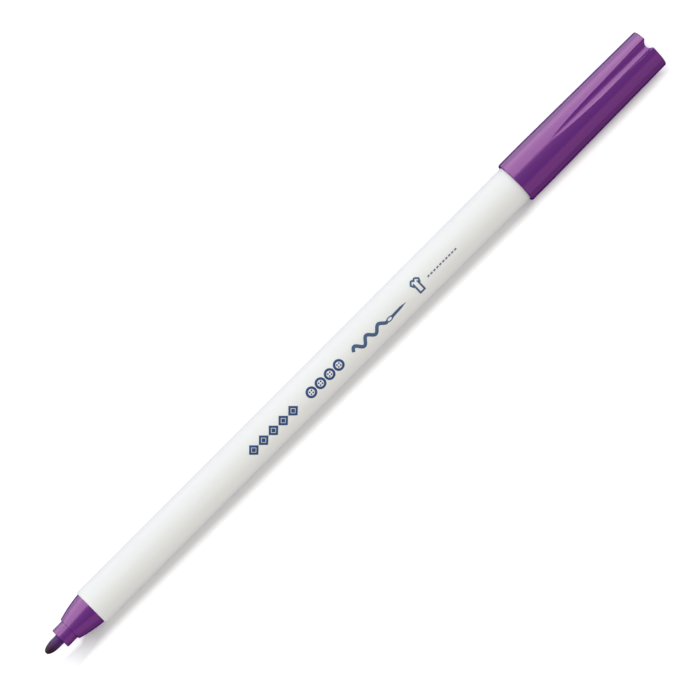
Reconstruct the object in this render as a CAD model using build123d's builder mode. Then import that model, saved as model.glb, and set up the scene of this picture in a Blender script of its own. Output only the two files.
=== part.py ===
from build123d import *
import os

# A fibre-tip fabric marking pen with its cap posted on the rear of the barrel.
#
# Frame: millimetres, +Z up. The pen lies along X with its nib toward -X and its cap toward +X.
# The origin is the middle of the pen's length, on the surface below it, so the cap's mouth,
# which is the widest part, touches Z = 0. The pen's axis runs along +X at axis_height.

# Lengths that show along the pen, from the tip of the nib to the end of the cap
nib_showing = 3.8
collar_length = 2.6
bell_length = 5.7
barrel_showing = 114.4
cap_length = 36.8

# Barrel: a plain tube with a snap groove that the cap's first bead drops into when posted
barrel_radius = 4.0
barrel_bore = 3.0
barrel_in_cap = 9.0
front_rim_round = 0.35
rear_rim_round = 0.2
snap_groove_start = 0.15
snap_groove_width = 0.8
snap_groove_depth = 0.2

# Nib: a bullet tip on a straight fibre rod
nib_radius = 1.1
nib_tip_length = 2.6
nib_length = 28.0
nib_chamfer = 0.3

# Nib holder: collar, bell and a spigot that plugs into the barrel
collar_radius = 2.15
collar_round = 0.2
bell_front_radius = 2.5
bell_middle_radius = 3.2
bell_rear_radius = 3.6
spigot_length = 9.0
chamber_length = 6.0
chamber_radius = 2.3
catch_radius = 3.1
catch_width = 0.8
catch_start = 5.0
vent_count = 3
vent_width = 0.5
vent_depth = 0.4

# Ink reservoir and the plastic film around it
reservoir_radius = 2.7
nib_socket_clearance = 0.02
film_radius = 2.84
film_clearance = 0.02
film_end_gap = 0.6

# Plug that closes the rear of the barrel
plug_flange_radius = 3.85
plug_flange_thickness = 1.5
plug_flange_round = 0.4
plug_spigot_length = 6.0
plug_hollow_radius = 2.1
plug_hollow_depth = 5.5

# Cap: round at the mouth, then slightly tapered, with scooped grooves toward a dished end
cap_radius = 4.66
cap_end_radius = 4.34
cap_straight = 5.5
cap_bore = 4.1
cap_bore_depth = 10.9
cap_cone_radius = 3.85
cap_cone_end_radius = 3.25
cap_cone_end = 24.5
cap_seat_radius = 2.8
cap_seat_end = 34.3
cap_mouth_round = 0.36
cap_mouth_break = 0.1
cap_end_round = 0.28
dish_mouth_radius = 4.04
dish_floor_radius = 3.3
dish_depth = 0.9
bead_radius = 4.02
bead_round = 0.3
bead_places = (0.55, 8.0)
groove_count = 3
groove_start = 10.9
groove_depth = 1.0
groove_cutter = 1.5
groove_turn = 12.7

# Seal sleeve inside the cap, which grips the collar when the cap is over the nib
seal_start = 16.2
seal_bore = 2.2
seal_floor = 0.8
seal_lead_in = 0.35

# Parts of one body that press together keep this much clearance in the model
press_gap = 0.01

# Places along X that follow from the lengths
tip_x = -(nib_showing + collar_length + bell_length + barrel_showing + cap_length) / 2
collar_x = tip_x + nib_showing
bell_x = collar_x + collar_length
barrel_x = bell_x + bell_length
mouth_x = barrel_x + barrel_showing
end_x = mouth_x + cap_length
barrel_end_x = mouth_x + barrel_in_cap
spigot_end_x = barrel_x + spigot_length
plug_spigot_x = barrel_end_x - plug_spigot_length

# The pen's axis, and the upright plane through it where local X is along the pen
# and local Y is the distance from the axis
axis_height = cap_radius
pen_axis = Axis((0, 0, axis_height), (1, 0, 0))
profile_plane = Plane(origin=(0, 0, axis_height), x_dir=(1, 0, 0), z_dir=(0, -1, 0))

low_corner = (Align.MIN, Align.MIN)


def ring_edge(part, group, largest=True):
    """The largest or smallest circle among those at one end of a part along X."""
    circles = part.edges().filter_by(GeomType.CIRCLE).group_by(Axis.X)[group]
    return circles.sort_by(SortBy.RADIUS)[-1 if largest else 0]


def export(part, name):
    part.part.label = name
    export_step(part.part, f"parts/{name}.step")


os.makedirs("parts", exist_ok=True)

# Barrel
with BuildPart() as barrel:
    with BuildSketch(profile_plane):
        with Locations((barrel_x, barrel_bore)):
            Rectangle(barrel_end_x - barrel_x, barrel_radius - barrel_bore, align=low_corner)
        with Locations((mouth_x + snap_groove_start, barrel_radius - snap_groove_depth)):
            Rectangle(snap_groove_width, 2 * snap_groove_depth, align=low_corner, mode=Mode.SUBTRACT)
        with Locations((barrel_x + catch_start, 0)):
            Rectangle(catch_width, catch_radius, align=low_corner, mode=Mode.SUBTRACT)
    revolve(axis=pen_axis)
    fillet(ring_edge(barrel, 0), front_rim_round)
    fillet(ring_edge(barrel, -1), rear_rim_round)

# Nib holder
with BuildPart() as nib_holder:
    chamber_x = spigot_end_x - chamber_length
    bell_middle_x = (bell_x + barrel_x) / 2
    with BuildSketch(profile_plane):
        with BuildLine():
            Polyline(
                (collar_x, nib_radius),
                (collar_x, collar_radius),
                (bell_x, collar_radius),
                (bell_x, bell_front_radius),
            )
            ThreePointArc(
                (bell_x, bell_front_radius),
                (bell_middle_x, bell_middle_radius),
                (barrel_x, bell_rear_radius),
            )
            Polyline(
                (barrel_x, bell_rear_radius),
                (barrel_x, barrel_bore - press_gap),
                (spigot_end_x, barrel_bore - press_gap),
                (spigot_end_x, chamber_radius),
                (chamber_x, chamber_radius),
                (chamber_x, nib_radius),
                (collar_x, nib_radius),
            )
        make_face()
        with Locations((barrel_x + catch_start + press_gap, chamber_radius)):
            Rectangle(
                catch_width - 2 * press_gap,
                catch_radius - press_gap - chamber_radius,
                align=low_corner,
            )
    revolve(axis=pen_axis)
    fillet(ring_edge(nib_holder, 0), collar_round)
    with BuildSketch(Plane(origin=(collar_x, 0, axis_height), x_dir=(0, 1, 0), z_dir=(1, 0, 0))):
        with PolarLocations(nib_radius, vent_count, start_angle=90):
            Rectangle(2 * vent_depth, vent_width)
    extrude(amount=chamber_x - collar_x, mode=Mode.SUBTRACT)

# Nib
with BuildPart() as nib:
    nib_end_x = tip_x + nib_length
    with BuildSketch(profile_plane):
        with BuildLine():
            EllipticalCenterArc(
                (tip_x + nib_tip_length, 0),
                nib_tip_length,
                nib_radius,
                start_angle=90,
                arc_size=90,
            )
            Polyline(
                (tip_x, 0),
                (nib_end_x, 0),
                (nib_end_x, nib_radius - nib_chamfer),
                (nib_end_x - nib_chamfer, nib_radius),
                (tip_x + nib_tip_length, nib_radius),
            )
        make_face()
    revolve(axis=pen_axis)

# Ink reservoir, with a socket for the rear of the nib
with BuildPart() as ink_reservoir:
    with BuildSketch(profile_plane):
        with Locations((spigot_end_x, 0)):
            Rectangle(plug_spigot_x - spigot_end_x, reservoir_radius, align=low_corner)
            Rectangle(
                nib_end_x - spigot_end_x,
                nib_radius + nib_socket_clearance,
                align=low_corner,
                mode=Mode.SUBTRACT,
            )
    revolve(axis=pen_axis)

# Film wrapped around the reservoir
with BuildPart() as reservoir_film:
    film_length = plug_spigot_x - spigot_end_x - 2 * film_end_gap
    film_bore = reservoir_radius + film_clearance
    with BuildSketch(profile_plane):
        with Locations((spigot_end_x + film_end_gap, film_bore)):
            Rectangle(film_length, film_radius - film_bore, align=low_corner)
    revolve(axis=pen_axis)

# End plug
with BuildPart() as end_plug:
    with BuildSketch(profile_plane):
        with Locations((plug_spigot_x, 0)):
            Rectangle(plug_spigot_length, barrel_bore - press_gap, align=low_corner)
            Rectangle(plug_hollow_depth, plug_hollow_radius, align=low_corner, mode=Mode.SUBTRACT)
        with Locations((barrel_end_x, 0)):
            Rectangle(plug_flange_thickness, plug_flange_radius, align=low_corner)
    revolve(axis=pen_axis)
    fillet(ring_edge(end_plug, -1), plug_flange_round)

# Cap shell
with BuildPart() as cap_shell:
    with BuildSketch(profile_plane):
        with BuildLine():
            Polyline(
                (mouth_x, cap_bore),
                (mouth_x, cap_radius),
                (mouth_x + cap_straight, cap_radius),
                (end_x, cap_end_radius),
                (end_x, dish_mouth_radius),
                (end_x - dish_depth, dish_floor_radius),
                (end_x - dish_depth, 0),
                (mouth_x + cap_seat_end, 0),
                (mouth_x + cap_seat_end, cap_seat_radius),
                (mouth_x + cap_cone_end, cap_seat_radius),
                (mouth_x + cap_cone_end, cap_cone_end_radius),
                (mouth_x + cap_bore_depth, cap_cone_radius),
                (mouth_x + cap_bore_depth, cap_bore),
                close=True,
            )
        make_face()
        with Locations(*[(mouth_x + place, bead_radius + bead_round) for place in bead_places]):
            Circle(bead_round)
    revolve(axis=pen_axis)
    fillet(ring_edge(cap_shell, -1), cap_end_round)
    fillet(ring_edge(cap_shell, 0), cap_mouth_round)
    fillet(ring_edge(cap_shell, 0, largest=False), cap_mouth_break)

    # Each groove is scooped by a round cutter that sinks steadily from groove_start to the end
    taper = (cap_radius - cap_end_radius) / (cap_length - cap_straight)
    start_radius = cap_radius - taper * (groove_start - cap_straight)
    for count in range(groove_count):
        turn = groove_turn + count * 360 / groove_count
        outward = Vector(0, 0, 1).rotate(Axis.X, -turn)
        on_axis = Vector(mouth_x + groove_start, 0, axis_height)
        cutter_start = on_axis + outward * (start_radius + groove_cutter)
        cutter_end = Vector(end_x, 0, axis_height)
        cutter_end += outward * (cap_end_radius - groove_depth + groove_cutter)
        run = cutter_end - cutter_start
        with BuildSketch(Plane(origin=cutter_start - run * 0.1, z_dir=run)):
            Circle(groove_cutter)
        extrude(amount=run.length * 1.2, mode=Mode.SUBTRACT)

# Seal sleeve in the cap
with BuildPart() as cap_seal:
    seal_x = mouth_x + seal_start
    seal_end_x = mouth_x + cap_seat_end
    seal_radius = cap_seat_radius - press_gap
    with BuildSketch(profile_plane):
        with BuildLine():
            Polyline(
                (seal_x, seal_bore + seal_lead_in),
                (seal_x, seal_radius),
                (seal_end_x, seal_radius),
                (seal_end_x, 0),
                (seal_end_x - seal_floor, 0),
                (seal_end_x - seal_floor, seal_bore),
                (seal_x + seal_lead_in, seal_bore),
                close=True,
            )
        make_face()
    revolve(axis=pen_axis)

export(barrel, "barrel")
export(nib_holder, "nib_holder")
export(nib, "nib")
export(ink_reservoir, "ink_reservoir")
export(reservoir_film, "reservoir_film")
export(end_plug, "end_plug")
export(cap_shell, "cap_shell")
export(cap_seal, "cap_seal")
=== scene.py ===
import math

import bmesh
import bpy
from mathutils import Matrix, Vector


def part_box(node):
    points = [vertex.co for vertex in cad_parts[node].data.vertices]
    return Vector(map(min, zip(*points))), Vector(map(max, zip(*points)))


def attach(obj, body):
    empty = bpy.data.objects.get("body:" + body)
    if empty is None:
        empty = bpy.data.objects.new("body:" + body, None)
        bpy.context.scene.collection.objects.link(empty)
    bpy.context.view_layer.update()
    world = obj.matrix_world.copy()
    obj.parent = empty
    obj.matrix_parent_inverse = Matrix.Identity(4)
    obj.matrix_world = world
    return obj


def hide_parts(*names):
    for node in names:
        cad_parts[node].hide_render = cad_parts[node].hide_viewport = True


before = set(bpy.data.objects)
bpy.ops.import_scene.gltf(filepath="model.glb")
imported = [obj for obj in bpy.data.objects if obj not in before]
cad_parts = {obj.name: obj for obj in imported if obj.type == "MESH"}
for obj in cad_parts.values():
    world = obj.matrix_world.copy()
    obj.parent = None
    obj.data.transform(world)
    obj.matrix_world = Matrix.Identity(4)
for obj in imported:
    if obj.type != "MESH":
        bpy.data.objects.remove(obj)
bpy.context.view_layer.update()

MM = 0.001

# ---------------------------------------------------------------- places, from the frame
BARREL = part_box("barrel")
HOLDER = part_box("nib_holder")
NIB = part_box("nib")
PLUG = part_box("end_plug")
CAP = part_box("cap_shell")
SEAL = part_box("cap_seal")

AXIS_Z = (CAP[0].z + CAP[1].z) / 2
TIP_X = NIB[0].x
COLLAR_X = HOLDER[0].x
FRONT_X = BARREL[0].x
MOUTH_X = CAP[0].x
END_X = CAP[1].x
BARREL_R = (BARREL[1].z - BARREL[0].z) / 2
BELL_R = (HOLDER[1].z - HOLDER[0].z) / 2
NIB_R = (NIB[1].z - NIB[0].z) / 2
CAP_R = (CAP[1].z - CAP[0].z) / 2
PLUG_R = (PLUG[1].z - PLUG[0].z) / 2
SEAL_R = (SEAL[1].z - SEAL[0].z) / 2

# Sizes of the pieces that the frame's boxes don't give
BARREL_BORE = 3.0 * MM
RIM_ROUND = 0.35 * MM
REAR_ROUND = 0.2 * MM
SNAP_START = 0.15 * MM
SNAP_WIDTH = 0.8 * MM
SNAP_DEPTH = 0.2 * MM
SNAP_SLOPE = 0.05 * MM
COLLAR_R = 2.15 * MM
COLLAR_LENGTH = 2.6 * MM
BELL_FRONT_R = 2.5 * MM
BELL_MIDDLE_R = 3.2 * MM
CHAMBER_R = 2.3 * MM
CHAMBER_LENGTH = 6.0 * MM
VENTS = 3
VENT_WIDTH = 0.5 * MM
VENT_R = 1.5 * MM
NIB_TIP = 2.6 * MM
NIB_CHAMFER = 0.3 * MM
PLUG_HOLLOW_R = 2.1 * MM
PLUG_HOLLOW_DEPTH = 5.5 * MM
PLUG_ROUND = 0.4 * MM
CAP_END_R = 4.34 * MM
CAP_STRAIGHT = 5.5 * MM
CAP_BORE = 4.1 * MM
CAP_BORE_DEPTH = 10.9 * MM
BEAD_R = 4.02 * MM
BEAD_ROUND = 0.3 * MM
BEAD_PLACES = (8.0 * MM, 0.55 * MM)
CAP_CONE_R = 3.85 * MM
CAP_CONE_END_R = 3.25 * MM
CAP_CONE_END = 24.5 * MM
CAP_SEAT_R = 2.8 * MM
CAP_SEAT_END = 34.3 * MM
MOUTH_ROUND = 0.36 * MM
MOUTH_BREAK = 0.1 * MM
END_ROUND = 0.28 * MM
DISH_MOUTH_R = 4.04 * MM
DISH_FLOOR_R = 3.3 * MM
DISH_DEPTH = 0.9 * MM
GROOVES = 3
GROOVE_START = 10.9 * MM
GROOVE_DEPTH = 1.0 * MM
GROOVE_CUTTER = 1.5 * MM
GROOVE_TURN = math.radians(12.7)
SEAL_BORE = 2.2 * MM
SEAL_FLOOR = 0.8 * MM
SEAL_LEAD_IN = 0.35 * MM

# Small breaks at corners, and the gap between pieces that press together
BREAK = 0.1 * MM
PRESS_GAP = 0.01 * MM


# ---------------------------------------------------------------- mesh helpers
def new_piece(name, bm, body, node, material, sharp=40):
    """Turn a bmesh into a smooth-shaded piece that rides on a body and may stand for a CAD node."""
    bmesh.ops.remove_doubles(bm, verts=bm.verts, dist=0.0001 * MM)
    bmesh.ops.recalc_face_normals(bm, faces=bm.faces)
    mesh = bpy.data.meshes.new(name)
    bm.to_mesh(mesh)
    bm.free()
    mesh.polygons.foreach_set("use_smooth", [True] * len(mesh.polygons))
    mesh.set_sharp_from_angle(angle=math.radians(sharp))
    piece = bpy.data.objects.new(name, mesh)
    bpy.context.scene.collection.objects.link(piece)
    mesh.materials.append(material)
    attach(piece, body)
    if node:
        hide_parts(node)
    return piece


def arc(centre, radius, start, end, steps):
    """Points of an arc in the (x, r) profile plane, angles in degrees."""
    points = []
    for i in range(steps + 1):
        a = math.radians(start + (end - start) * i / steps)
        points.append((centre[0] + radius * math.cos(a), centre[1] + radius * math.sin(a)))
    return points


def grid_mesh(rows):
    """A bmesh skin through rows of points, each row a closed loop or a single point."""
    bm = bmesh.new()
    made = [[bm.verts.new(p) for p in row] for row in rows]
    for a, b in zip(made, made[1:]):
        n = max(len(a), len(b))
        for i in range(n):
            j = (i + 1) % n
            if len(a) == 1:
                bm.faces.new((a[0], b[i], b[j]))
            elif len(b) == 1:
                bm.faces.new((a[i], a[j], b[0]))
            else:
                bm.faces.new((a[i], a[j], b[j], b[i]))
    return bm


def on_ring(x, r, angle):
    """A point at a distance r from the pen's axis, its angle counted from +Z toward +Y."""
    return (x, r * math.sin(angle), AXIS_Z + r * math.cos(angle))


def whole_turn(count):
    """Angles of evenly spaced columns around the pen's axis."""
    return [2 * math.pi * i / count for i in range(count)]


def lathe(profile, segments=144):
    """A bmesh of a profile turned about the pen's axis. A radius of 0 makes a pole."""
    rows = []
    for x, r in profile:
        if r <= 0:
            rows.append([(x, 0, AXIS_Z)])
        else:
            rows.append([on_ring(x, r, angle) for angle in whole_turn(segments)])
    return grid_mesh(rows)


def closed_lathe(profile, segments=144):
    """A lathe whose profile is a closed loop that doesn't touch the axis."""
    return lathe(list(profile) + [profile[0]], segments)


# ---------------------------------------------------------------- material helpers
class Nodes:
    """Short names for building a node material."""

    def __init__(self, name):
        self.material = bpy.data.materials.new(name)
        self.material.use_nodes = True
        self.tree = self.material.node_tree
        self.shader = self.tree.nodes["Principled BSDF"]

    def add(self, kind, **settings):
        node = self.tree.nodes.new(kind)
        for key, value in settings.items():
            setattr(node, key, value)
        return node

    def link(self, out, socket):
        self.tree.links.new(out, socket)

    def set(self, **values):
        """Set the shader's own sockets, by short names."""
        names = {
            "roughness": "Roughness",
            "ior": "IOR",
            "specular": "Specular IOR Level",
            "tint": "Specular Tint",
            "subsurface": "Subsurface Weight",
            "radius": "Subsurface Radius",
            "scale": "Subsurface Scale",
        }
        for key, value in values.items():
            self.shader.inputs[names[key]].default_value = value

    def coords(self, scale=(1, 1, 1)):
        """Object coordinates in millimetres, stretched by scale."""
        texture = self.add("ShaderNodeTexCoord")
        mapping = self.add("ShaderNodeMapping")
        mapping.inputs["Scale"].default_value = [1000 * s for s in scale]
        self.link(texture.outputs["Object"], mapping.inputs["Vector"])
        return mapping.outputs["Vector"]

    def noise(self, vector, scale, detail=3.0, roughness=0.5):
        node = self.add("ShaderNodeTexNoise")
        node.inputs["Scale"].default_value = scale
        node.inputs["Detail"].default_value = detail
        node.inputs["Roughness"].default_value = roughness
        self.link(vector, node.inputs["Vector"])
        return node.outputs["Fac"]

    def spread(self, value, low, high, source=(0.0, 1.0)):
        """Map a 0 to 1 value onto low to high."""
        node = self.add("ShaderNodeMapRange")
        node.inputs["From Min"].default_value = source[0]
        node.inputs["From Max"].default_value = source[1]
        node.inputs["To Min"].default_value = low
        node.inputs["To Max"].default_value = high
        self.link(value, node.inputs["Value"])
        return node.outputs["Result"]

    def shifted(self, value, amount, scale):
        """A value plus an amount times a scale."""
        node = self.add("ShaderNodeMath", operation="MULTIPLY_ADD")
        self.link(amount, node.inputs[0])
        node.inputs[1].default_value = scale
        self.link(value, node.inputs[2])
        return node.outputs["Value"]

    def ramp(self, value, *stops):
        node = self.add("ShaderNodeValToRGB")
        while len(node.color_ramp.elements) < len(stops):
            node.color_ramp.elements.new(0.5)
        for element, (place, color) in zip(node.color_ramp.elements, stops):
            element.position = place
            element.color = (*color, 1)
        self.link(value, node.inputs["Fac"])
        return node.outputs["Color"]

    def bump(self, height, strength, distance):
        node = self.add("ShaderNodeBump")
        node.inputs["Strength"].default_value = strength
        node.inputs["Distance"].default_value = distance
        self.link(height, node.inputs["Height"])
        return node.outputs["Normal"]


def moulded_plastic(name, colors, roughness, bump=0.15, **settings):
    """Injection-moulded plastic: slow colour drift, uneven gloss, faint flow lines and fine scuffs."""
    n = Nodes(name)
    along = n.coords((0.12, 1, 1))
    fine = n.coords()
    drift = n.noise(along, 0.35, 2.0)
    n.link(n.ramp(drift, (0.3, colors[0]), (0.7, colors[1])), n.shader.inputs["Base Color"])
    gloss = n.noise(fine, 0.9, 4.0, 0.6)
    n.link(n.spread(gloss, *roughness), n.shader.inputs["Roughness"])
    skin = n.noise(n.coords((0.3, 1, 1)), 6.0, 5.0, 0.6)
    n.link(n.bump(skin, bump, 0.00001), n.shader.inputs["Normal"])
    n.set(**settings)
    return n.material


def purple_plastic():
    return moulded_plastic(
        "purple_plastic",
        ((0.082, 0.0040, 0.165), (0.092, 0.0050, 0.180)),
        (0.20, 0.24),
        bump=0.05,
        ior=1.5,
        specular=0.5,
        tint=(1.0, 0.56, 0.67, 1.0),
    )


def white_plastic():
    return moulded_plastic(
        "white_plastic",
        ((0.79, 0.795, 0.785), (0.81, 0.815, 0.805)),
        (0.34, 0.42),
        bump=0.25,
        ior=1.5,
        subsurface=0.1,
        radius=(1.0, 0.95, 0.85),
        scale=0.0006,
    )


def soft_plastic():
    return moulded_plastic(
        "soft_plastic",
        ((0.68, 0.68, 0.65), (0.74, 0.74, 0.71)),
        (0.5, 0.62),
        bump=0.3,
        subsurface=0.2,
        radius=(1.0, 0.95, 0.9),
        scale=0.0008,
    )


def fibre(name, dark, light, wet=0.35):
    """Bonded fibre: strands along the pen, with a rough ink-soaked surface."""
    n = Nodes(name)
    strands = n.noise(n.coords((0.25, 1, 1)), 14.0, 4.0, 0.65)
    n.link(n.ramp(strands, (0.3, dark), (0.75, light)), n.shader.inputs["Base Color"])
    n.link(n.spread(strands, wet + 0.3, wet + 0.15), n.shader.inputs["Roughness"])
    n.link(n.bump(strands, 0.6, 0.00004), n.shader.inputs["Normal"])
    return n


def nib_material():
    """The nib's fibre, darkest at the tip where it is wettest."""
    n = fibre("nib_fibre", (0.050, 0.010, 0.100), (0.080, 0.018, 0.145))
    n.set(specular=0.12)
    base = n.shader.inputs["Base Color"].links[0].from_socket
    texture = n.add("ShaderNodeTexCoord")
    place = n.add("ShaderNodeSeparateXYZ")
    n.link(texture.outputs["Object"], place.inputs["Vector"])
    wet = n.spread(place.outputs["X"], 1.0, 0.0, (TIP_X + 0.9 * MM, TIP_X + 3.3 * MM))
    mix = n.add("ShaderNodeMix", data_type="RGBA")
    n.link(wet, mix.inputs["Factor"])
    n.link(base, mix.inputs["A"])
    mix.inputs["B"].default_value = (0.014, 0.003, 0.010, 1)
    n.link(mix.outputs["Result"], n.shader.inputs["Base Color"])
    return n.material


def film_material():
    """Thin film, faintly wrinkled, with the ink's tint showing through."""
    n = Nodes("clear_film")
    wrinkle = n.noise(n.coords((0.2, 1, 1)), 1.5, 3.0)
    tint = n.ramp(wrinkle, (0.3, (0.34, 0.25, 0.45)), (0.7, (0.42, 0.32, 0.52)))
    n.link(tint, n.shader.inputs["Base Color"])
    n.link(n.spread(wrinkle, 0.15, 0.3), n.shader.inputs["Roughness"])
    n.link(n.bump(wrinkle, 0.5, 0.00005), n.shader.inputs["Normal"])
    return n.material


def print_ink(name, dark, light):
    """Pad-printed ink: slightly uneven cover and a satin skin."""
    n = Nodes(name)
    cover = n.noise(n.coords(), 5.0, 4.0, 0.6)
    n.link(n.ramp(cover, (0.35, dark), (0.7, light)), n.shader.inputs["Base Color"])
    n.link(n.spread(cover, 0.4, 0.55), n.shader.inputs["Roughness"])
    n.link(n.bump(cover, 0.3, 0.00001), n.shader.inputs["Normal"])
    return n.material


# ---------------------------------------------------------------- barrel
def barrel_profile():
    """The barrel's closed (x, r) outline, front rim first."""
    end_x = BARREL[1].x
    snap_x = MOUTH_X + SNAP_START
    snap_end = snap_x + SNAP_WIDTH
    start_x = FRONT_X + RIM_ROUND
    points = arc((start_x, BARREL_R - RIM_ROUND), RIM_ROUND, 180, 90, 10)
    steps = 24
    for i in range(1, steps):
        points.append((start_x + (snap_x - start_x) * i / steps, BARREL_R))
    points += [
        (snap_x, BARREL_R),
        (snap_x + SNAP_SLOPE, BARREL_R - SNAP_DEPTH),
        (snap_end - SNAP_SLOPE, BARREL_R - SNAP_DEPTH),
        (snap_end, BARREL_R),
    ]
    points += arc((end_x - REAR_ROUND, BARREL_R - REAR_ROUND), REAR_ROUND, 90, 0, 5)
    points += [(end_x, BARREL_BORE + BREAK), (end_x - BREAK, BARREL_BORE)]
    points += [(FRONT_X + BREAK, BARREL_BORE), (FRONT_X, BARREL_BORE + BREAK)]
    return points


def make_barrel(material):
    return new_piece("barrel_tube", closed_lathe(barrel_profile()), "pen", "barrel", material)


# ---------------------------------------------------------------- printed marks
PRINT_LIFT = 0.012 * MM
PRINT_SINK = 0.02 * MM
PRINT_TURN = -0.7 * MM / BARREL_R
PRINT_BAND = 0.19  # millimetres around the barrel between two cuts, so that the marks bend with it
PRINT_BANDS = 21


def add_strip(bm, left, right, closed=False):
    """Quads between two rows of flat points, given in millimetres along and across the barrel."""
    a = [bm.verts.new((*p, 0)) for p in left]
    b = [bm.verts.new((*p, 0)) for p in right]
    n = len(a)
    for i in range(n if closed else n - 1):
        j = (i + 1) % n
        bm.faces.new((a[i], b[i], b[j], a[j]))


def add_ring(bm, centre, outer, inner, sides=32, squeeze=1.0):
    """A flat ring with any number of sides."""

    def loop(r):
        x, y = centre
        return [(x + r * math.cos(a), y + r * squeeze * math.sin(a)) for a in whole_turn(sides)]

    add_strip(bm, loop(outer), loop(inner), closed=True)


def add_shape(bm, points):
    """One flat face."""
    bm.faces.new([bm.verts.new((*p, 0)) for p in points])


def add_dot(bm, centre, radius, sides=16):
    """A flat disc with any number of sides."""
    angles = whole_turn(sides)
    add_shape(bm, [(centre[0] + radius * math.cos(a), centre[1] + radius * math.sin(a)) for a in angles])


def add_stroke(bm, points, width, closed=False):
    """A line of even width through flat points, with mitred corners."""
    n = len(points)
    left, right = [], []
    for i, (x, y) in enumerate(points):
        before = points[i - 1] if i or closed else points[i]
        after = points[(i + 1) % n] if i < n - 1 or closed else points[i]
        into = Vector((x - before[0], y - before[1])).normalized() if before != (x, y) else None
        out = Vector((after[0] - x, after[1] - y)).normalized() if after != (x, y) else None
        into = into or out
        out = out or into
        along = (into + out).normalized()
        side = Vector((-along.y, along.x))
        reach = width / 2 / max(side.dot(Vector((-into.y, into.x))), 0.4)
        left.append((x + side.x * reach, y + side.y * reach))
        right.append((x - side.x * reach, y - side.y * reach))
    add_strip(bm, left, right, closed)


def print_on_barrel(name, bm, material):
    """Cut flat marks into narrow bands, wrap them round the barrel and give them a printed layer's depth."""
    bmesh.ops.triangulate(bm, faces=[f for f in bm.faces if len(f.verts) > 4])
    for i in range(PRINT_BANDS):
        # a little off the middle, clear of the marks' own corners
        cut = PRINT_BAND * (i - PRINT_BANDS // 2) + 0.003
        geometry = bm.verts[:] + bm.edges[:] + bm.faces[:]
        bmesh.ops.bisect_plane(bm, geom=geometry, plane_co=(0, cut, 0), plane_no=(0, 1, 0))
    bmesh.ops.remove_doubles(bm, verts=bm.verts, dist=1e-4)
    for v in bm.verts:
        x = FRONT_X + v.co.x * MM
        v.co = on_ring(x, BARREL_R + PRINT_LIFT, PRINT_TURN + v.co.y * MM / BARREL_R)
    bmesh.ops.recalc_face_normals(bm, faces=bm.faces)
    grown = bmesh.ops.extrude_face_region(bm, geom=bm.faces[:], use_keep_orig=True)["geom"]
    for v in (g for g in grown if isinstance(g, bmesh.types.BMVert)):
        away = Vector((0, v.co.y, v.co.z - AXIS_Z))
        v.co -= away.normalized() * (PRINT_LIFT + PRINT_SINK)
    return new_piece(name, bm, "pen", None, material)


def patch_row(bm, start, count, size):
    """Quilt patches set on point."""
    for i in range(count):
        centre = (start + size * (i + 0.5), 0)
        add_ring(bm, centre, size * 0.485, size * 0.25, sides=4)
        add_dot(bm, centre, size * 0.2, sides=4)


def button_row(bm, start, count, pitch):
    """Buttons with four holes."""
    for button in range(count):
        centre = (start + pitch * (button + 0.5), 0)
        add_ring(bm, centre, 1.15, 0.66)
        for i in range(4):
            hole = math.radians(45 + 90 * i)
            add_dot(bm, (centre[0] + 0.36 * math.cos(hole), 0.36 * math.sin(hole)), 0.18, sides=12)


def thread_and_needle(bm, start):
    """A waving thread that ends in the eye of a needle."""
    thread_length = 8.6
    half_waves = 5.5
    steps = 72
    wave = []
    for i in range(steps + 1):
        share = i / steps
        height = 0.75 * (1 - 0.4 * share)
        wave.append((start + thread_length * share, height * math.sin(share * half_waves * math.pi) - 0.3))
    add_stroke(bm, wave, 0.7)
    eye = (start + thread_length + 0.75, wave[-1][1] + 0.05)
    add_ring(bm, eye, 0.9, 0.5, squeeze=0.55)
    tip = (start + 13.9, eye[1] + 0.1)
    body = [(eye[0] + 0.68, eye[1] + 0.3), (tip[0] - 1.6, tip[1] + 0.26), tip]
    body += [(tip[0] - 1.6, tip[1] - 0.26), (eye[0] + 0.68, eye[1] - 0.3)]
    add_shape(bm, body)


def garment(bm, start):
    """A small shirt outline."""
    half = [(0.28, 1.5), (0.52, 1.5), (1.05, 0.95), (0.8, 0.42), (0.56, 0.6), (0.56, -1.4)]
    points = [(start + 1.05 + x, y) for x, y in half]
    points += [(start + 1.05 - x, y) for x, y in reversed(half)]
    points.append((start + 1.05, 1.22))
    add_stroke(bm, points, 0.38, closed=True)


def stitch_row(bm, start, count, pitch):
    """Short slanting stitches."""
    for i in range(count):
        x = start + pitch * i
        add_stroke(bm, [(x, -0.16), (x + 0.52, -0.06)], 0.34)


def make_print(bold_ink, plain_ink, faint_ink):
    """A row of sewing marks; their places are millimetres from the barrel's front rim."""
    bold = bmesh.new()
    patch_row(bold, 41.6, 5, 2.64)
    button_row(bold, 57.2, 4, 2.45)
    print_on_barrel("printed_patches", bold, bold_ink)
    plain = bmesh.new()
    thread_and_needle(plain, 69.5)
    garment(plain, 86.1)
    print_on_barrel("printed_thread", plain, plain_ink)
    faint = bmesh.new()
    stitch_row(faint, 89.6, 10, 0.8)
    print_on_barrel("printed_stitches", faint, faint_ink)


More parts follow.
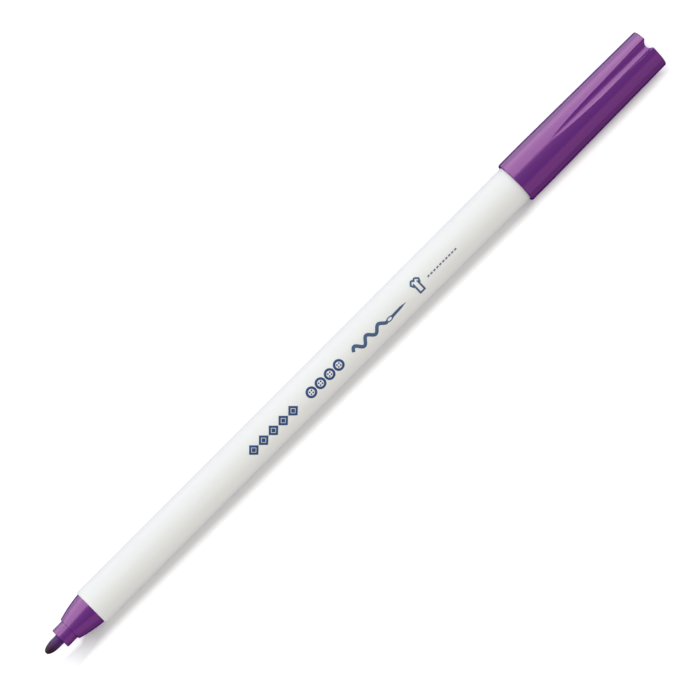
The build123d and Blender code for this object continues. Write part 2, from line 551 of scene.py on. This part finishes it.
# ---------------------------------------------------------------- nib holder and nib
def bell_curve(start, middle, end, steps):
    """A circle through three (x, r) points, sampled from start to end."""
    (ax, ay), (bx, by), (cx, cy) = start, middle, end
    d = 2 * (ax * (by - cy) + bx * (cy - ay) + cx * (ay - by))
    a2, b2, c2 = ax * ax + ay * ay, bx * bx + by * by, cx * cx + cy * cy
    ux = (a2 * (by - cy) + b2 * (cy - ay) + c2 * (ay - by)) / d
    uy = (a2 * (cx - bx) + b2 * (ax - cx) + c2 * (bx - ax)) / d
    radius = math.hypot(ax - ux, ay - uy)
    first = math.degrees(math.atan2(ay - uy, ax - ux))
    last = math.degrees(math.atan2(cy - uy, cx - ux))
    return arc((ux, uy), radius, first, last, steps)


def in_vent(angle):
    """Whether an angle is in one of the air slots beside the nib, the first of them on top."""
    sector = 2 * math.pi / VENTS
    away = (angle + sector / 2) % sector - sector / 2
    return abs(math.sin(away)) * VENT_R <= VENT_WIDTH / 2


def make_nib_holder(material):
    """Collar, bell and hidden spigot, with the nib's channel and its air slots."""
    bell_x = COLLAR_X + COLLAR_LENGTH
    step = 0.12 * MM
    round_r = 0.2 * MM
    end_x = HOLDER[1].x
    chamber_x = end_x - CHAMBER_LENGTH
    channel = NIB_R + 2 * PRESS_GAP
    middle = ((bell_x + FRONT_X) / 2, BELL_MIDDLE_R)
    points = [(COLLAR_X + BREAK, channel), (COLLAR_X, channel + BREAK)]
    points += arc((COLLAR_X + round_r, COLLAR_R - round_r), round_r, 180, 90, 6)
    points += arc((bell_x - step, COLLAR_R + step), step, 270, 360, 5)
    points += arc((bell_x + step, BELL_FRONT_R - step), step, 180, 105, 5)
    points += bell_curve((bell_x, BELL_FRONT_R), middle, (FRONT_X, BELL_R), 24)[1:]
    points += [
        (FRONT_X, BARREL_BORE - PRESS_GAP),
        (end_x, BARREL_BORE - PRESS_GAP),
        (end_x, CHAMBER_R),
        (chamber_x, CHAMBER_R),
        (chamber_x, channel),
    ]
    rows = []
    for x, r in points + [points[0]]:
        beside_nib = r <= channel + BREAK
        ring = []
        for angle in whole_turn(216):
            ring.append(on_ring(x, VENT_R if beside_nib and in_vent(angle) else r, angle))
        rows.append(ring)
    return new_piece("bell_nib_holder", grid_mesh(rows), "pen", "nib_holder", material)


def make_nib(material):
    """A bullet tip worn a little flat, with faint strand ridges, on a straight rod."""
    end_x = NIB[1].x
    rod_share = 0.99
    steps = 28
    worn = math.pi / 2 * 0.16
    angles = whole_turn(96)
    rows = [[(TIP_X, 0, AXIS_Z)]]
    for i in range(1, steps + 1):
        a = worn + (math.pi / 2 - worn) * i / steps
        x = TIP_X + NIB_TIP * (math.cos(worn) - math.cos(a))
        ring = []
        for turn in angles:
            ridge = 0.006 * math.sin(9 * turn + 0.6) + 0.004 * math.sin(23 * turn + 1.9)
            r = NIB_R * math.sin(a) * (rod_share + ridge * math.sin(2 * a))
            ring.append(on_ring(x, r, turn))
        rows.append(ring)
    for x, r in [(end_x - NIB_CHAMFER, NIB_R * rod_share), (end_x, NIB_R - NIB_CHAMFER)]:
        rows.append([on_ring(x, r, turn) for turn in angles])
    rows.append([(end_x, 0, AXIS_Z)])
    return new_piece("bullet_nib", grid_mesh(rows), "pen", "nib", material)


# ---------------------------------------------------------------- end plug
def make_end_plug(material):
    """A flange with a shallow dimple, on a hollow spigot."""
    end_x = PLUG[1].x
    start_x = PLUG[0].x
    barrel_end = BARREL[1].x
    hollow_x = start_x + PLUG_HOLLOW_DEPTH
    spigot = BARREL_BORE - PRESS_GAP
    lead_in = 0.2 * MM
    edge = 0.08 * MM
    points = [(hollow_x, 0), (hollow_x, PLUG_HOLLOW_R), (start_x, PLUG_HOLLOW_R)]
    points += [(start_x, spigot - lead_in), (start_x + lead_in, spigot)]
    points += [(barrel_end, spigot), (barrel_end, PLUG_R - edge), (barrel_end + edge, PLUG_R)]
    points += arc((end_x - PLUG_ROUND, PLUG_R - PLUG_ROUND), PLUG_ROUND, 90, 0, 8)
    dimple = ((1.0, 0.0), (0.8, 0.15), (0.3, 0.25), (0.0, 0.26))
    points += [(end_x - depth * MM, r * MM) for r, depth in dimple]
    return new_piece("barrel_end_plug", lathe(points, 96), "pen", "end_plug", material)


# ---------------------------------------------------------------- cap
def cap_outside(x):
    """The cap's outer radius, grooves left out."""
    along = x - MOUTH_X
    if along <= CAP_STRAIGHT:
        return CAP_R
    share = (along - CAP_STRAIGHT) / (END_X - MOUTH_X - CAP_STRAIGHT)
    return CAP_R + (CAP_END_R - CAP_R) * share


def cutter_distance(x):
    """How far the groove cutter's centre line is from the pen's axis."""
    start = cap_outside(MOUTH_X + GROOVE_START) + GROOVE_CUTTER
    end = CAP_END_R - GROOVE_DEPTH + GROOVE_CUTTER
    share = (x - MOUTH_X - GROOVE_START) / (END_X - MOUTH_X - GROOVE_START)
    return start + (end - start) * share


def groove_half_angle(x, r):
    """Half the angle that a groove takes out of a circle of radius r."""
    c = cutter_distance(x)
    cosine = (r * r + c * c - GROOVE_CUTTER**2) / (2 * r * c)
    return math.acos(cosine) if cosine < 1 else 0.0


def groove_radius(x, angle):
    """Distance from the axis to the groove's surface, or None clear of the cutter."""
    c = cutter_distance(x)
    inside = GROOVE_CUTTER**2 - (c * math.sin(angle)) ** 2
    if x < MOUTH_X + GROOVE_START or inside <= 0:
        return None
    return c * math.cos(angle) - math.sqrt(inside)


LEAST_HALF_ANGLE = math.radians(2.0)
LOBE_STEPS = 34
EDGE_ROUND = (0.03 * MM, 0.4 * MM)


def groove_fractions():
    """Places across a groove, from -1 to 1, closest together at its edges and at the dish's gap."""
    gap = groove_half_angle(END_X - DISH_DEPTH / 2, DISH_MOUTH_R) / groove_half_angle(END_X, CAP_END_R)
    half = [0, 0.16, 0.32, 0.46, 0.58, 0.68, gap - 0.02, gap + 0.02, 0.85, 0.91, 0.95, 0.98, 1.0]
    half = sorted(set(min(f, 1.0) for f in half))
    return [-f for f in reversed(half[1:])] + half


def ring_angles(x, r):
    """(angle, angle from the nearest groove's middle) for each column of the cap's mesh."""
    half = max(groove_half_angle(x, r), LEAST_HALF_ANGLE)
    sector = 2 * math.pi / GROOVES
    columns = []
    for g in range(GROOVES):
        middle = GROOVE_TURN + g * sector
        columns += [(middle + f * half, f * half) for f in groove_fractions()]
        span = sector - 2 * half
        for i in range(1, LOBE_STEPS):
            # closest together beside the grooves
            share = i / LOBE_STEPS - 0.13 * math.sin(2 * math.pi * i / LOBE_STEPS)
            away = half + span * share
            columns.append((middle + away, min(away, sector - away)))
    return columns


def soft_min(a, b, x):
    """The smaller of two radii, rounded over where they meet, and more so toward the cap's end."""
    if b is None:
        return a
    share = max(x - MOUTH_X - GROOVE_START, 0) / (END_X - MOUTH_X - GROOVE_START)
    edge = EDGE_ROUND[0] + (EDGE_ROUND[1] - EDGE_ROUND[0]) * share**12
    h = max(edge - abs(a - b), 0) / edge
    return min(a, b) - h * h * edge / 4


def dish_x(r):
    """Height of the dished end at a distance r from the axis."""
    if r >= DISH_MOUTH_R:
        return END_X
    if r <= DISH_FLOOR_R:
        return END_X - DISH_DEPTH
    return END_X - DISH_DEPTH * (DISH_MOUTH_R - r) / (DISH_MOUTH_R - DISH_FLOOR_R)


def bead(x):
    """Points over a bead inside the cap, from the side toward its end to the side toward its mouth."""
    centre_r = BEAD_R + BEAD_ROUND
    spread = math.degrees(math.acos((centre_r - CAP_BORE) / BEAD_ROUND))
    return arc((x, centre_r), BEAD_ROUND, 270 + spread, 270 - spread, 6)


def round_rings(profile):
    """Rings of the cap's mesh without grooves, at each (x, r) of a profile."""
    return [[on_ring(x, r, angle) for angle, _ in ring_angles(x, cap_outside(x))] for x, r in profile]


def cap_inside_profile():
    """From the closed end of the seal's seat out to the mouth's inner edge."""
    seat_end = MOUTH_X + CAP_SEAT_END
    cone_end = MOUTH_X + CAP_CONE_END
    bore_end = MOUTH_X + CAP_BORE_DEPTH
    points = [
        (seat_end, CAP_SEAT_R),
        (cone_end, CAP_SEAT_R),
        (cone_end, CAP_CONE_END_R),
        (bore_end, CAP_CONE_R),
        (bore_end, CAP_BORE),
    ]
    for place in BEAD_PLACES:
        points += bead(MOUTH_X + place)
    points += [(MOUTH_X + MOUTH_BREAK, CAP_BORE), (MOUTH_X, CAP_BORE + MOUTH_BREAK)]
    return points


def cap_outside_profile():
    """From behind the mouth's rounded edge to the rim, closest together where the grooves start."""
    notch = END_X - DISH_DEPTH
    last = END_X - END_ROUND
    start = MOUTH_X + GROOVE_START
    steps = 60
    places = [MOUTH_X + MOUTH_ROUND + (GROOVE_START - MOUTH_ROUND) * i / 10 for i in range(1, 10)]
    places += [start + (notch - start) * (i / steps) ** 1.3 for i in range(steps + 1)]
    places += [notch + (last - notch) * i / 8 for i in range(1, 9)]
    points = [(x, cap_outside(x)) for x in places]
    return points + arc((last, CAP_END_R - END_ROUND), END_ROUND, 90, 0, 8)[1:]


def grooved_ring(x, r):
    """(x, r, angle) around the cap's outside, with grooves cut in and the dish cut from their ends."""
    ring = []
    for angle, away in ring_angles(x, cap_outside(x)):
        cut = soft_min(r, groove_radius(x, away), x)
        ring.append((min(x, dish_x(cut)), cut, angle))
    return ring


def make_cap(material):
    """One closed skin: inside, mouth, grooved outside, rim and dish."""
    rows = [[(MOUTH_X + CAP_SEAT_END, 0, AXIS_Z)]]
    rows += round_rings(cap_inside_profile())
    rows += round_rings(arc((MOUTH_X + MOUTH_ROUND, CAP_R - MOUTH_ROUND), MOUTH_ROUND, 180, 90, 8))
    for x, r in cap_outside_profile():
        ring = grooved_ring(x, r)
        rows.append([on_ring(*point) for point in ring])

    # Across the rim, then down the dish and across its floor; a groove's columns start lower down
    slope = [DISH_MOUTH_R + (DISH_FLOOR_R - DISH_MOUTH_R) * i / 5 for i in range(6)]
    for reach in slope + [DISH_FLOOR_R * share for share in (0.97, 0.85, 0.6, 0.3)]:
        inward = [(min(r, reach), angle) for _, r, angle in ring]
        rows.append([on_ring(dish_x(r), r, angle) for r, angle in inward])
    rows.append([(END_X - DISH_DEPTH, 0, AXIS_Z)])
    return new_piece("grooved_cap", grid_mesh(rows), "cap", "cap_shell", material, sharp=32)


def make_cap_seal(material):
    """A closed sleeve with a slanting edge that leads the collar in."""
    start_x, end_x = SEAL[0].x, SEAL[1].x
    floor_x = end_x - SEAL_FLOOR
    points = [(floor_x, 0), (floor_x, SEAL_BORE), (start_x + SEAL_LEAD_IN, SEAL_BORE)]
    points += [(start_x, SEAL_BORE + SEAL_LEAD_IN), (start_x, SEAL_R - BREAK), (start_x + BREAK, SEAL_R)]
    points += [(end_x, SEAL_R), (end_x, 0)]
    return new_piece("cap_seal_sleeve", lathe(points, 96), "cap", "cap_seal", material)


# ---------------------------------------------------------------- camera, light and floor
def add_camera():
    """A long lens above the nib, aimed at the middle of the pen, with the pen rising at 45 degrees."""
    height = 1.31
    middle = Vector((0, -0.19 * MM, AXIS_Z))
    place = Vector((TIP_X, middle.y, AXIS_Z + height))
    data = bpy.data.cameras.new("camera")
    data.sensor_width = 36
    frame_width = 133.4 * MM
    data.lens = data.sensor_width * (place - middle).length / frame_width
    data.clip_start, data.clip_end = 0.05, 20
    camera = bpy.data.objects.new("camera", data)
    bpy.context.scene.collection.objects.link(camera)
    forward = (middle - place).normalized()
    rise = math.radians(45.04)
    # the picture's right and up directions, turned so that +X rises to the upper right
    along = (Vector((1, 0, 0)) - forward * forward.x).normalized()
    across = along.cross(forward)
    right = along * math.cos(rise) - across * math.sin(rise)
    up = right.cross(forward)
    turn = Matrix((right, up, -forward)).transposed()
    camera.matrix_world = Matrix.Translation(place) @ turn.to_4x4()
    bpy.context.scene.camera = camera


def add_area(name, place, target, size, power, color):
    """A rectangular light that faces a target, with its long side along the pen."""
    data = bpy.data.lights.new(name, "AREA")
    data.shape = "RECTANGLE"
    data.size, data.size_y = size
    data.energy = power
    data.color = color
    light = bpy.data.objects.new(name, data)
    light.location = place
    back = (Vector(place) - Vector(target)).normalized()
    along = Vector((1, 0, 0))
    turn = Matrix((along, back.cross(along), back)).transposed()
    light.rotation_euler = turn.to_euler()
    bpy.context.scene.collection.objects.link(light)
    return light


def add_floor():
    """A pale sheet that touches the barrel's front rim and the cap's mouth, as a real table would."""
    reach = 3.0
    gap = 0.02 * MM
    drop = (CAP_R - BARREL_R) / (MOUTH_X - FRONT_X)
    bm = bmesh.new()
    corners = []
    for x, y in ((-reach, -reach), (reach, -reach), (reach, reach), (-reach, reach)):
        z = (MOUTH_X - x) * drop - gap
        corners.append(bm.verts.new((x, y, z)))
    bm.faces.new(corners)
    mesh = bpy.data.meshes.new("floor")
    bm.to_mesh(mesh)
    bm.free()
    floor = bpy.data.objects.new("floor", mesh)
    bpy.context.scene.collection.objects.link(floor)
    mesh.materials.append(floor_material())
    # Reflections see the studio's dark surroundings below the pen, not the sheet
    floor.visible_glossy = False
    floor.visible_shadow = False


# Strength of the floor's painted light, which glows over the pen's shadow outside the strip beside it
FLOOR_PAINTED_LIGHT = 0.5


def floor_material():
    """White sheet that glows with painted light everywhere except in a narrow strip beside the pen, so that
    the pen's shadow shows only in that strip.
    """
    n = Nodes("floor_sheet")
    grain = n.noise(n.coords(), 0.05, 2.0)
    white = n.ramp(grain, (0.0, (0.77, 0.775, 0.815)), (1.0, (0.79, 0.795, 0.835)))
    n.link(white, n.shader.inputs["Base Color"])
    n.set(roughness=0.9, specular=0.0)
    texture = n.add("ShaderNodeTexCoord")
    place = n.add("ShaderNodeSeparateXYZ")
    n.link(texture.outputs["Object"], place.inputs["Vector"])
    # the strip where the painted light leaves the shadow is drawn in beside the cap at its outer edge, and
    # beside the nib at its inner edge
    cap_side = n.spread(place.outputs["X"], 0.25, -0.35, (MOUTH_X - 2 * MM, MOUTH_X + 2 * MM))
    outer = n.shifted(place.outputs["Y"], cap_side, MM)
    beyond = n.spread(outer, 1.0, 0.0, (-6.7 * MM, -4.85 * MM))
    nib_side = n.spread(place.outputs["X"], -3.0, 1.5, (TIP_X + 6 * MM, FRONT_X + 1 * MM))
    inner = n.shifted(place.outputs["Y"], nib_side, -MM)
    near = n.spread(inner, 0.0, 1.0, (-1.2 * MM, 0.0))
    ahead = n.spread(place.outputs["X"], 1.0, 0.0, (TIP_X - 2 * MM, TIP_X + 9 * MM))
    behind = n.spread(place.outputs["X"], 0.0, 1.0, (END_X - 2.5 * MM, END_X + 1.5 * MM))
    # painted light: the floor's emission, kept off only in the shadow strip beside the pen, and over it
    # ahead of the nib and past the cap's end
    painted_light = beyond
    for part in (near, ahead, behind):
        most = n.add("ShaderNodeMath", operation="MAXIMUM")
        n.link(painted_light, most.inputs[0])
        n.link(part, most.inputs[1])
        painted_light = most.outputs["Value"]
    strength = n.add("ShaderNodeMath", operation="MULTIPLY")
    n.link(painted_light, strength.inputs[0])
    strength.inputs[1].default_value = FLOOR_PAINTED_LIGHT
    n.shader.inputs["Emission Color"].default_value = (1, 1, 1, 1)
    n.link(strength.outputs["Value"], n.shader.inputs["Emission Strength"])
    return n.material


# Light from the studio's walls and ceiling: degrees from overhead toward +Y, and its colour
SKY = (
    (-95, (0.0, 0.0, 0.0)),
    (-90, (0.08, 0.08, 0.08)),
    (-50, (0.72, 0.64, 0.66)),
    (-20, (0.93, 0.92, 0.84)),
    (10, (1.24, 1.29, 1.12)),
    (35, (1.24, 1.28, 1.42)),
    (60, (0.88, 0.90, 1.08)),
    (90, (1.40, 1.33, 1.22)),
    (95, (0.0, 0.0, 0.0)),
)
SKY_SCALE = 1.5


def add_world():
    """A studio that is even along the pen, brightest just past overhead and dark below the sheet."""
    world = bpy.data.worlds.new("studio")
    world.use_nodes = True
    tree = world.node_tree
    background = tree.nodes["Background"]
    background.inputs["Strength"].default_value = SKY_SCALE
    texture = tree.nodes.new("ShaderNodeTexCoord")
    split = tree.nodes.new("ShaderNodeSeparateXYZ")
    tree.links.new(texture.outputs["Generated"], split.inputs["Vector"])
    turn = tree.nodes.new("ShaderNodeMath")
    turn.operation = "ARCTAN2"
    tree.links.new(split.outputs["Y"], turn.inputs[0])
    tree.links.new(split.outputs["Z"], turn.inputs[1])
    share = tree.nodes.new("ShaderNodeMapRange")
    share.inputs["From Min"].default_value = -math.pi
    share.inputs["From Max"].default_value = math.pi
    tree.links.new(turn.outputs["Value"], share.inputs["Value"])
    sky = tree.nodes.new("ShaderNodeValToRGB")
    elements = sky.color_ramp.elements
    while len(elements) < len(SKY):
        elements.new(0.5)
    for element, (degrees, color) in zip(elements, SKY):
        element.position = 0.5 + degrees / 360
        element.color = (*[c / SKY_SCALE for c in color], 1)
    tree.links.new(share.outputs["Result"], sky.inputs["Fac"])
    # The camera sees plain white behind the sheet
    path = tree.nodes.new("ShaderNodeLightPath")
    seen = tree.nodes.new("ShaderNodeMix")
    seen.data_type = "RGBA"
    tree.links.new(path.outputs["Is Camera Ray"], seen.inputs["Factor"])
    tree.links.new(sky.outputs["Color"], seen.inputs["A"])
    seen.inputs["B"].default_value = (1, 1, 1, 1)
    tree.links.new(seen.outputs["Result"], background.inputs["Color"])
    bpy.context.scene.world = world


def add_shine(name, low, high, radiance, color, receivers):
    """A long softbox between two angles from overhead, seen only in the reflections of glossy pieces."""
    distance = 0.8
    polar = math.radians((low + high) / 2)
    width = 2 * distance * math.tan(math.radians(high - low) / 2)
    length = 3.0
    place = (0, distance * math.sin(polar), AXIS_Z + distance * math.cos(polar))
    power = radiance * math.pi * length * width
    light = add_area(name, place, (0, 0, AXIS_Z), (length, width), power, color)
    light.visible_diffuse = False
    light.light_linking.receiver_collection = receivers


def add_lights(glossy_pieces):
    """Softboxes on the side of +Y, and a weaker, warmer fill on the other side."""
    receivers = bpy.data.collections.new("glossy_pieces")
    for piece in glossy_pieces:
        receivers.objects.link(piece)
    add_shine("softbox", 24, 104, 5.3, (1, 1, 1), receivers)
    add_shine("softbox_skirt", 104, 134, 2.3, (1, 0.9, 0.92), receivers)
    add_shine("softbox_hem", 134, 162, 0.2, (1, 0.93, 0.9), receivers)
    add_shine("fill", -96, -42, 1.3, (1, 0.72, 0.7), receivers)
    add_shine("fill_skirt", -132, -96, 0.45, (1, 0.6, 0.4), receivers)


# ---------------------------------------------------------------- make everything
purple = purple_plastic()
white = white_plastic()

add_camera()
make_barrel(white)
make_print(
    print_ink("bold_ink", (0.006, 0.040, 0.145), (0.011, 0.068, 0.220)),
    print_ink("plain_ink", (0.035, 0.080, 0.175), (0.055, 0.115, 0.240)),
    print_ink("faint_ink", (0.13, 0.13, 0.26), (0.20, 0.20, 0.34)),
)
make_end_plug(white)
holder = make_nib_holder(purple)
nib = make_nib(nib_material())
cap = make_cap(purple)
make_cap_seal(soft_plastic())


def paint(node, material):
    """Give a CAD node that stays its own material."""
    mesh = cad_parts[node].data
    mesh.materials.clear()
    mesh.materials.append(material)


paint("ink_reservoir", fibre("reservoir_fibre", (0.05, 0.015, 0.10), (0.10, 0.04, 0.18)).material)
paint("reservoir_film", film_material())

add_floor()
add_world()
add_lights([holder, nib, cap])
bpy.context.scene.view_settings.view_transform = "Standard"
